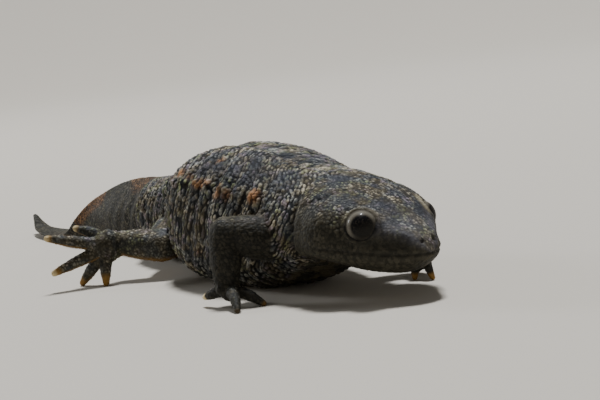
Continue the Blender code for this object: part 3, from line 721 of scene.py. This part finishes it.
def eye_relief(at):
    """The crease round each eye and the nostril on its side, with the pale upper lids, and shade painted
    into the crease, at the eye's edge and in the nostril.
    """
    height, painted_shade, lid = np.zeros((3, len(at.place)))
    for side, centre in EYES.items():
        outward = np.array(outward_of(side))
        away = at.place - np.array(centre)
        out = away @ outward
        across = np.linalg.norm(away - np.outer(out, outward), axis=1)
        crease = eased(-1.0, 0.5, out) * hump(across - ORBIT_CREASE_RADIUS, ORBIT_CREASE_WIDTH)
        rim = 1 - eased(EYE_RADIUS + 0.05, EYE_RADIUS + 0.45, np.linalg.norm(away, axis=1))
        above = eased(0.0, 0.7, away[:, 2] / LID_RING_RADIUS)
        from_lid = np.hypot(across - LID_RING_RADIUS, out - LID_OUT)
        lid = np.maximum(lid, LID_PALENESS[side] * above * hump(from_lid, LID_WIDTH))
        hole = np.linalg.norm(at.place - nostril_place(side), axis=1)
        height += NOSTRIL_RIM_HEIGHT * hump(hole - NOSTRIL_RIM_RADIUS, NOSTRIL_RIM_WIDTH)
        height -= ORBIT_CREASE_DEPTH * crease
        nostril_shade = hump(hole, NOSTRIL_SHADE_RADIUS)
        # Painted shade in the crease, at the eye's edge and in the nostril
        painted_shade = np.maximum.reduce([painted_shade, 0.35 * crease, 0.9 * rim, nostril_shade])
    return height, painted_shade, lid


def gular_fold(at, on):
    """The fold across the throat and up the neck's sides, with the swelling ahead of it, and shade painted
    into the fold.
    """
    ahead = at.along - along_at_x(NECK_X)
    under = 0.85 * on.body * (1 - eased(0.3, 0.85, at.upward))
    height = GULAR_SWELLING * hump(ahead - 1.3, 0.7) - GULAR_DEPTH * hump(ahead, GULAR_WIDTH)
    # Painted shade in the fold
    return under * height, 0.8 * under * hump(ahead, 0.6)


def joint_wrinkles(at, on):
    crumple = clouded(at.place / 1.6, 71)
    creased = on.limbs * hump(at.joint, WRINKLE_REACH)
    return WRINKLE_DEPTH * creased * np.cos(2 * math.pi * (at.joint / WRINKLE_PITCH + crumple))


def skin_relief(at, on, ribs, grain):
    """How high the skin stands over the plain form, the shade painted into its creases, folds, hollows and
    round the eyes, and the pale lids.
    """
    relief = TRUNK_RELIEF * on.trunk + HEAD_RELIEF * on.head * (1 - 0.6 * on.snout)
    relief += LIMB_RELIEF * on.limbs + TAIL_RELIEF * on.tail
    trunk_height, valley_shade = trunk_relief(at, on, ribs)
    head_height, head_shade = head_relief(at)
    eye_height, eye_shade, lid = eye_relief(at)
    fold_height, fold_shade = gular_fold(at, on)
    height = relief * grain + trunk_height + on.head * (head_height + eye_height) + fold_height
    height += joint_wrinkles(at, on)
    face_shade = on.head * np.maximum(head_shade, eye_shade)
    # Painted shade in the creases and hollows, less on the granules' tops
    painted_shade = np.maximum.reduce([0.7 * valley_shade * (1 - 0.6 * grain), face_shade, fold_shade])
    smooth_tip = on.limbs * (1 - eased(0.5, 1.5, at.tip))
    return height * (1 - 0.8 * smooth_tip), painted_shade, on.head * lid


# The skin's markings

# Middles of the blue-black patches on the back and upper flank
COOL_RADIUS = 2.2
COOL = (
    (18.9, -4.8, 20.3),
    (11.1, -8.2, 20.0),
    (15.5, -7.5, 19.8),
    (28.9, -6.9, 16.3),
    (29.7, -7.8, 14.4),
    (7.8, -9.3, 19.7),
    (21.6, -6.6, 18.6),
    (28.2, -4.1, 18.5),
    (18.5, 0.7, 20.9),
    (37.8, 1.2, 18.1),
)

# Middles of the paler patches on the shoulder and flank, partly the skin's own paler tone and partly
# painted light that brightens the middle of the flank
PALE_AND_LIT_RADIUS = 2.2
PALE_AND_LIT = (
    (22.1, -9.0, 15.0),
    (26.0, -7.5, 16.0),
    (29.6, -7.4, 14.8),
    (33.5, -7.2, 14.7),
    (15.7, -11.2, 13.3),
)

# Rust patches of the right flank: x, the angle up from level in degrees, length, height and strength
RUST = (
    (24.4, 30, 1.7, 1.5, 0.9),
    (19.8, 27, 1.1, 1.0, 0.35),
    (17.4, 26, 0.9, 1.5, 0.75),
    (14.6, 28, 1.4, 1.7, 0.9),
    (11.4, 33, 0.9, 0.9, 0.45),
    (8.6, 32, 1.9, 1.3, 1.0),
    (3.4, 36, 1.3, 1.1, 0.5),
    (-1.4, 40, 1.3, 1.2, 0.65),
    (-6.0, 35, 1.2, 1.1, 0.5),
    (-10.6, 33, 1.2, 1.1, 0.55),
    (-15.2, 35, 1.1, 1.0, 0.4),
    (9.0, 58, 1.3, 1.2, 0.6),
    (7.3, -15, 1.3, 0.9, 0.5),
)


def patches(at, middles, radius):
    found = np.zeros(len(at.place))
    for middle in middles:
        found = np.maximum(found, hump(np.linalg.norm(at.place - middle, axis=1), radius))
    return found


def rust_by_ribs(at):
    """Patches over the ribs' ends, and the same a little shifted on the left flank."""
    share = np.zeros(len(at.place))
    right = at.side < 0
    for x, degrees, length, height, strength in RUST:
        shift = np.where(right, 0.0, 1.3 * math.sin(5 * x))
        ahead = at.along - along_at_x(x) - shift
        above = at.half_width * (at.turn - math.radians(degrees))
        share = np.maximum(share, strength * hump(np.hypot(ahead / length, above / height), 1.0))
    return share


def rust_share(at, on):
    """Rust over the ribs' ends and along the tail's edges."""
    patchy = clouded(at.place / 1.3, 41)
    by_ribs = np.clip(2.0 * on.trunk * rust_by_ribs(at) * (0.45 + patchy) - 0.3, 0, 1)
    finned = on.tail * at.finned
    broken = eased(0.4, 0.65, clouded(at.place / 4.0, 42)) * eased(20, 40, at.along)
    upper_edge = finned * eased(0.6, 0.95, at.upward) * broken
    lower_edge = finned * eased(0.85, 0.98, -at.upward) * eased(35, 60, at.along)
    return np.maximum.reduce([by_ribs, 0.65 * upper_edge, 0.7 * lower_edge])


def markings(at, facing_up):
    """The height of the relief over the plain form, and the colour shares, for each place."""
    on = regions(at)
    ribs = rib_number(at)
    grain, tone = granule_field(at, on, ribs)
    height, painted_shade, lid = skin_relief(at, on, ribs, grain)

    softness = 0.3 * on.head + 0.3 * on.snout + 0.5 * on.limbs - 0.3 * on.arms
    # The paler patches, partly painted light, and the pale lids
    pale = np.maximum(0.8 * lid, patches(at, PALE_AND_LIT, PALE_AND_LIT_RADIUS))
    clouds = 0.6 * eased(0.6, 0.85, clouded(at.place / 3.4, 43))
    cool = np.maximum(clouds, patches(at, COOL, COOL_RADIUS)) * eased(0.0, 0.35, at.upward)
    # The violet-grey of the snout's upper sides is partly its own colour and partly a painted bluish sheen.
    snout_sides = eased(0.0, 0.4, at.upward) * (1 - 0.6 * eased(0.75, 0.97, at.upward))
    # Painted shade: the skin is darker low on the trunk's flanks and under the head, where less light
    # falls.
    lower = on.trunk * (1 - eased(-0.45, 0.3, at.upward))
    cheek_shade = on.head * (1 - eased(0.3, 0.85, at.upward))
    # Painted light: the limbs' upward-facing tops are lighter, where the light from above falls on them.
    lit_tops = 0.85 * on.legs * eased(0.2, 0.8, facing_up) + 0.6 * on.arms * eased(0.55, 0.95, facing_up)
    # The limbs and tail are darker as well, partly their own darker tone and partly painted shade.
    shade_and_dusky_tone = np.clip(0.2 * lower + cheek_shade + 0.6 * on.limbs + 0.4 * on.arms + 0.8 * on.tail, 0, 1)
    return SimpleNamespace(
        height=height,
        grain=np.maximum(grain + (0.45 - grain) * softness, 0.7 * lid),
        tone=np.maximum(tone, pale),
        rust=rust_share(at, on),
        cream=np.maximum(on.limbs * at.cream, 0.35 * lid),
        orange=np.maximum(on.limbs * at.orange, 0.8 * on.legs * eased(0.55, 0.9, -facing_up)),
        belly=(on.trunk + 0.6 * on.head) * (1 - eased(-0.97, -0.8, at.upward)),
        cool=cool * on.body * (1 - 0.8 * pale),
        # Painted shade: the arms are darker except on their lit tops.
        painted_shade=np.maximum(painted_shade, 0.35 * on.arms * (1 - lit_tops)),
        shade_and_dusky_tone=shade_and_dusky_tone * (1 - lit_tops) * (1 - lid),
        violet_and_sheen=0.8 * on.snout * snout_sides,
    )


# Materials

# Colours between the granules, on their slopes and on their tops, in cold and in warm areas
# The near-black gaps are painted shade between the granules, and the pale tops are partly their own colour
# and partly a painted highlight.
GAPS = ((0.003, 0.005, 0.007), (0.011, 0.008, 0.004))
SLOPES = ((0.024, 0.028, 0.036), (0.05, 0.041, 0.023))
TOPS = ((0.42, 0.43, 0.39), (0.54, 0.48, 0.36))
OLIVE_TOPS, ROSY_TOPS = (0.3, 0.33, 0.17), (0.36, 0.28, 0.36)

# Colours of the skin's other areas, those in pairs from their darkest to their palest
BLUE_BLACK = ((0.003, 0.004, 0.007), (0.022, 0.027, 0.043))
# The dusky pair colours the painted shade of the lower flanks and cheeks, and the limbs' and tail's darker
# tone.
DUSKY = ((0.009, 0.009, 0.007), (0.055, 0.05, 0.035))
# The violet pair is partly a painted bluish sheen on the snout.
VIOLET = ((0.012, 0.013, 0.017), (0.075, 0.074, 0.088))
RUSTY = ((0.04, 0.018, 0.009), (0.38, 0.185, 0.075))
BELLY = ((0.03, 0.028, 0.022), (0.08, 0.068, 0.042))
# The first colour here is painted shade for the creases, folds, nostrils and the eyes' edges; orange and
# cream are the digits' own tips.
CREASE_SHADE, ORANGE, CREAM = (0.005, 0.005, 0.006), (0.22, 0.12, 0.028), (0.7, 0.6, 0.36)

# The eye's colours from the pupil out, at shares of the quarter turn from the way it looks
IRIS = (
    (0.0, (0.003, 0.003, 0.004)),
    (0.46, (0.003, 0.003, 0.004)),
    (0.5, (0.035, 0.031, 0.025)),
    (0.57, (0.11, 0.1, 0.082)),
    (0.7, (0.15, 0.14, 0.115)),
    # The last, dark stop is painted shade from the lids' edge over the ball.
    (0.86, (0.045, 0.04, 0.032)),
)
IRIS_FLECK, IRIS_SHADE = (0.06, 0.05, 0.04), (0.012, 0.011, 0.009)


def shader_nodes(name):
    """A new material's node tree, with its Principled shader and a helper to add and link nodes."""
    material = bpy.data.materials.new(name)
    material.use_nodes = True
    tree = material.node_tree
    shader = tree.nodes["Principled BSDF"]

    def add(kind, inputs=(), **settings):
        node = tree.nodes.new(kind)
        for key, value in settings.items():
            setattr(node, key, value)
        for key, value in dict(inputs).items():
            if isinstance(value, bpy.types.NodeSocket):
                tree.links.new(value, node.inputs[key])
            else:
                node.inputs[key].default_value = value
        return node

    return material, tree, shader, add


class Mixer:
    """Short names for the nodes that the colours are mixed with."""

    def __init__(self, tree, add):
        self.tree, self.add = tree, add
        self.where_on = add("ShaderNodeTexCoord").outputs["Object"]

    def share(self, name):
        return self.add("ShaderNodeAttribute", attribute_name=name).outputs["Fac"]

    def noise(self, scale, detail, roughness=0.6):
        inputs = {"Vector": self.where_on, "Scale": scale, "Detail": detail, "Roughness": roughness}
        return self.add("ShaderNodeTexNoise", inputs).outputs["Fac"]

    def ranged(self, value, low, high, to_low=0.0, to_high=1.0):
        inputs = {"Value": value, "From Min": low, "From Max": high, "To Min": to_low, "To Max": to_high}
        return self.add("ShaderNodeMapRange", inputs, interpolation_type="SMOOTHSTEP").outputs["Result"]

    def times(self, first, *others):
        for other in others:
            first = self.add("ShaderNodeMath", {0: first, 1: other}, operation="MULTIPLY").outputs[0]
        return first

    def mixed(self, share, first, second):
        node = self.add("ShaderNodeMix", {"Factor": share}, data_type="RGBA")
        for socket, value in ((node.inputs[6], first), (node.inputs[7], second)):
            if isinstance(value, bpy.types.NodeSocket):
                self.tree.links.new(value, socket)
            else:
                socket.default_value = (*value, 1.0)
        return node.outputs[2]


def skin_material():
    material, tree, shader, add = shader_nodes("newt_skin")
    m = Mixer(tree, add)
    grain, tone = m.share("grain"), m.share("tone")
    warmth = m.ranged(m.noise(330, 2), 0.4, 0.6)
    olive = m.ranged(m.noise(260, 3), 0.5, 0.62)
    rosy = m.times(m.ranged(m.noise(420, 2), 0.52, 0.64), 0.8)
    blotches = m.ranged(m.noise(240, 4, 0.7), 0.38, 0.6, 0.25, 1.0)
    fine = add("ShaderNodeTexVoronoi", {"Vector": m.where_on, "Scale": 2100}).outputs["Distance"]
    # Painted shade: the fine bumps are lighter on their tops and darker towards their edges
    fine_bump_shading = m.ranged(fine, 0.25, 0.75, 1.0, 0.35)
    # Painted shade: the granules darken from their tops down into the gaps, in each colour mixed by these
    # shares
    lifted = m.ranged(grain, 0.0, 0.4)
    # The pale tops, partly a painted highlight
    lit = m.times(m.ranged(grain, 0.2, 0.6), m.ranged(tone, 0.0, 0.8, 0.3, 1.0), blotches, fine_bump_shading)
    shaded = m.times(lifted, m.ranged(tone, 0.0, 1.0, 0.4, 1.0))

    tops = m.mixed(rosy, m.mixed(olive, m.mixed(warmth, *TOPS), OLIVE_TOPS), ROSY_TOPS)
    base = m.mixed(lit, m.mixed(lifted, m.mixed(warmth, *GAPS), m.mixed(warmth, *SLOPES)), tops)
    base = m.mixed(m.times(m.share("cool"), 0.85), base, m.mixed(lifted, *BLUE_BLACK))
    # Partly a painted bluish sheen on the snout's upper sides
    base = m.mixed(m.share("violet_and_sheen"), base, m.mixed(blotches, *VIOLET))
    # Painted shade on the lower flanks and cheeks, with the limbs' and tail's darker tone
    base = m.mixed(m.share("shade_and_dusky_tone"), base, m.mixed(shaded, *DUSKY))
    base = m.mixed(m.times(m.share("rust"), 0.85), base, m.mixed(shaded, *RUSTY))
    base = m.mixed(m.share("belly"), base, m.mixed(m.ranged(m.noise(300, 2), 0.45, 0.55), *BELLY))
    # Painted shade in the creases and hollows, then the digits' own orange and cream tips
    for name, colour in (("painted_shade", CREASE_SHADE), ("orange", ORANGE), ("cream", CREAM)):
        base = m.mixed(m.share(name), base, colour)
    tree.links.new(base, shader.inputs["Base Color"])

    tree.links.new(m.ranged(m.noise(900, 3), 0.3, 0.7, 0.58, 0.75), shader.inputs["Roughness"])
    bump = add("ShaderNodeBump", {"Height": fine, "Strength": 0.6, "Distance": 0.00015}, invert=True)
    tree.links.new(bump.outputs["Normal"], shader.inputs["Normal"])
    shader.inputs["Specular IOR Level"].default_value = 0.16
    return material


def eye_material():
    """A black pupil in a silver-beige ring, with painted shade that darkens the ring ahead and below."""
    material, tree, shader, add = shader_nodes("newt_eye")
    m = Mixer(tree, add)
    wobble = add("ShaderNodeMath", {0: m.noise(1500, 3), 1: 5.0}, operation="MULTIPLY_ADD")
    tree.links.new(m.share("from_gaze"), wobble.inputs[2])
    ramp = add("ShaderNodeValToRGB")
    tree.links.new(m.times(wobble.outputs[0], 1 / 90), ramp.inputs["Fac"])
    elements = ramp.color_ramp.elements
    while len(elements) < len(IRIS):
        elements.new(0.5)
    for element, (place, colour) in zip(elements, IRIS):
        element.position = place
        element.color = (*colour, 1.0)
    flecks = m.ranged(m.noise(3800, 3, 0.7), 0.5, 0.66, 0.0, 0.45)
    flecked = m.mixed(flecks, ramp.outputs["Color"], IRIS_FLECK)
    tree.links.new(m.mixed(m.share("low"), flecked, IRIS_SHADE), shader.inputs["Base Color"])
    shader.inputs["Roughness"].default_value = 0.4
    shader.inputs["Specular IOR Level"].default_value = 0.05
    shader.inputs["Coat Weight"].default_value = 0.09
    shader.inputs["Coat Roughness"].default_value = 0.05
    return material


def plain_material(name, colour, roughness):
    material, _, shader, _ = shader_nodes(name)
    shader.inputs["Base Color"].default_value = (*colour, 1.0)
    shader.inputs["Roughness"].default_value = roughness
    return material


# The pieces

SHARES = ("grain", "tone", "rust", "cream", "orange", "belly", "cool", "painted_shade", "shade_and_dusky_tone", "violet_and_sheen")
FAIRING_REACH, JOINT_REACH = 1.2, 2.5  # how far from a limb's root, or a joint, the skin is evened out


def faired(mesh):
    """Evens the mesh out at the joints and where limbs meet the body, and returns its points."""
    edges = edges_of(mesh)
    places = numbers_of(mesh.vertices, "co", 3)
    at = where(places)
    fold = hump(at.off, FAIRING_REACH) * hump(at.limb, FAIRING_REACH)
    places = relaxed(places, edges, np.maximum(fold, hump(at.joint, JOINT_REACH)), 18)
    places = relaxed(places, edges, np.full(len(places), 0.5), 3)
    mesh.vertices.foreach_set("co", places.ravel())
    mesh.update()
    return places


def unwrap(obj):
    """A flat map of the plain form, for baking the colours when the model is exported."""
    obj.data.uv_layers.new(name="OFBake")
    bpy.context.view_layer.objects.active = obj
    obj.select_set(True)
    bpy.ops.object.mode_set(mode="EDIT")
    bpy.ops.mesh.select_all(action="SELECT")
    bpy.ops.uv.smart_project(angle_limit=1.15, island_margin=0.004, scale_to_bounds=True)
    bpy.ops.object.mode_set(mode="OBJECT")


def make_skin():
    skin = whole_form()
    places = faired(skin.data)
    unwrap(skin)
    mesh = skin.data
    normals = numbers_of(mesh.vertices, "normal", 3)
    marks = markings(where(places), normals[:, 2])
    places = places + normals * marks.height[:, None]
    places[:, 2] = np.maximum(places[:, 2], 0)
    mesh.vertices.foreach_set("co", places.ravel())
    for name in SHARES:
        mesh.attributes.new(name, "FLOAT", "POINT").data.foreach_set("value", getattr(marks, name))
    mesh.transform(TO_FRAME)
    mesh.shade_smooth()
    mesh.materials.clear()
    mesh.materials.append(skin_material())
    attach(skin, "root")
    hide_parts(*[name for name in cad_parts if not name.startswith("eye_")])


def make_eye(side, material):
    bpy.ops.mesh.primitive_uv_sphere_add(segments=64, ring_count=48, radius=EYE_RADIUS)
    eye = bpy.context.object
    eye.name = eye.data.name = "eyeball_" + side
    mesh = eye.data
    ways = unit(numbers_of(mesh.vertices, "co", 3))
    turned = gaze_of(side).to_track_quat("Z", "Y").to_matrix().to_4x4()
    ahead_and_down = turned.transposed() @ from_head(side, 0, 0.6, -0.8)
    from_gaze = np.degrees(np.arccos(np.clip(ways[:, 2], -1, 1)))
    # Painted shade: the ring darkens ahead and below, where less light falls
    low = 0.85 * eased(-0.1, 0.6, ways @ np.array(ahead_and_down))
    for name, values in (("from_gaze", from_gaze), ("low", low)):
        mesh.attributes.new(name, "FLOAT", "POINT").data.foreach_set("value", values)
    mesh.transform(TO_FRAME @ Matrix.Translation(EYES[side]) @ turned)
    mesh.shade_smooth()
    mesh.materials.append(material)
    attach(eye, "root")
    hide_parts("eye_" + side)


# Camera, floor and lights

CAMERA_PLACE, CAMERA_LOOK = Vector((270.7, -104.6, 42.2)), Vector((-0.9205, 0.3907, 0.0))
CAMERA_DOWN, CAMERA_ROLL = math.radians(5.96), math.radians(6.4)
LENS, SENSOR_WIDTH, NEAREST = 102, 36, 0.01

FLOOR_FLAT, FLOOR_RISE = 1.1, 2.2  # metres: the flat floor's radius, and that of its sweep up to a wall
FLOOR_MIDDLE = [0.02, 0.3]  # metres: radii of the rings inside the flat floor
FLOOR_SIDES, SWEEP_STEPS = 96, 24
FLOOR_COLOUR, FLOOR_ROUGHNESS = (0.5, 0.47, 0.42), 0.9

# Each light's place, as how far to the right of the view, along it and up it stands in metres,
# with its size in metres, power in watts and colour
LIGHTS = {
    "key": ((0.17, 0.67, 2.95), 0.5, 135, (0.98, 0.99, 1.0)),
    "rim": ((-0.72, 0.45, 0.33), 0.2, 2.6, (0.97, 0.99, 1.0)),
}
SKY_COLOUR, SKY_STRENGTH = (0.85, 0.88, 0.92), 0.1


def camera_axes():
    """The camera's right and up, before its roll, and the way it looks."""
    level = CAMERA_LOOK.normalized()
    looks = level * math.cos(CAMERA_DOWN) - Vector((0, 0, math.sin(CAMERA_DOWN)))
    right = looks.cross(Vector((0, 0, 1))).normalized()
    return right, right.cross(looks), looks


def make_camera():
    right, up, looks = camera_axes()
    across = right * math.cos(CAMERA_ROLL) - up * math.sin(CAMERA_ROLL)
    above = right * math.sin(CAMERA_ROLL) + up * math.cos(CAMERA_ROLL)
    camera = bpy.data.objects.new("camera", bpy.data.cameras.new("camera"))
    bpy.context.scene.collection.objects.link(camera)
    camera.matrix_world = Matrix((across, above, -looks)).transposed().to_4x4()
    camera.location = TO_FRAME @ CAMERA_PLACE
    camera.data.lens = LENS
    camera.data.sensor_width = SENSOR_WIDTH
    camera.data.clip_start = NEAREST
    bpy.context.scene.camera = camera


def make_floor():
    """A round floor that sweeps up to a wall, so that no edge shows behind the animal."""
    turns = np.linspace(0, math.pi / 2, SWEEP_STEPS)
    radii = np.concatenate([FLOOR_MIDDLE, FLOOR_FLAT + FLOOR_RISE * np.sin(turns)])
    heights = np.concatenate([np.zeros(len(FLOOR_MIDDLE)), FLOOR_RISE * (1 - np.cos(turns))])
    angles = np.linspace(0, 2 * math.pi, FLOOR_SIDES, endpoint=False)
    level = np.ones(FLOOR_SIDES)
    across = [np.outer(radii, np.cos(angles)), np.outer(radii, np.sin(angles)), np.outer(heights, level)]
    points, faces = lofted(np.stack(across, axis=-1))
    mesh = bpy.data.meshes.new("floor")
    mesh.from_pydata(points.tolist(), [], faces[:-1])
    mesh.shade_smooth()
    mesh.materials.append(plain_material("pale_floor", FLOOR_COLOUR, FLOOR_ROUGHNESS))
    floor = bpy.data.objects.new("floor", mesh)
    bpy.context.scene.collection.objects.link(floor)


def make_light(name, place, size, power, colour):
    """An area light that shines at the animal."""
    right, _, looks = camera_axes()
    level = Vector((looks.x, looks.y, 0)).normalized()
    offset = right * place[0] + level * place[1] + Vector((0, 0, place[2]))
    light = bpy.data.lights.new(name, "AREA")
    light.size = size
    light.energy = power
    light.color = colour
    made = bpy.data.objects.new(name, light)
    bpy.context.scene.collection.objects.link(made)
    made.location = offset
    made.rotation_euler = (-offset).to_track_quat("-Z", "Y").to_euler()


def make_sky():
    world = bpy.data.worlds.new("studio")
    world.use_nodes = True
    background = world.node_tree.nodes["Background"]
    background.inputs["Color"].default_value = (*SKY_COLOUR, 1.0)
    background.inputs["Strength"].default_value = SKY_STRENGTH
    bpy.context.scene.world = world


make_camera()
make_floor()
for light_name, settings in LIGHTS.items():
    make_light(light_name, *settings)
make_sky()
make_skin()
newt_eye = eye_material()
for eye_side in EYES:
    make_eye(eye_side, newt_eye)
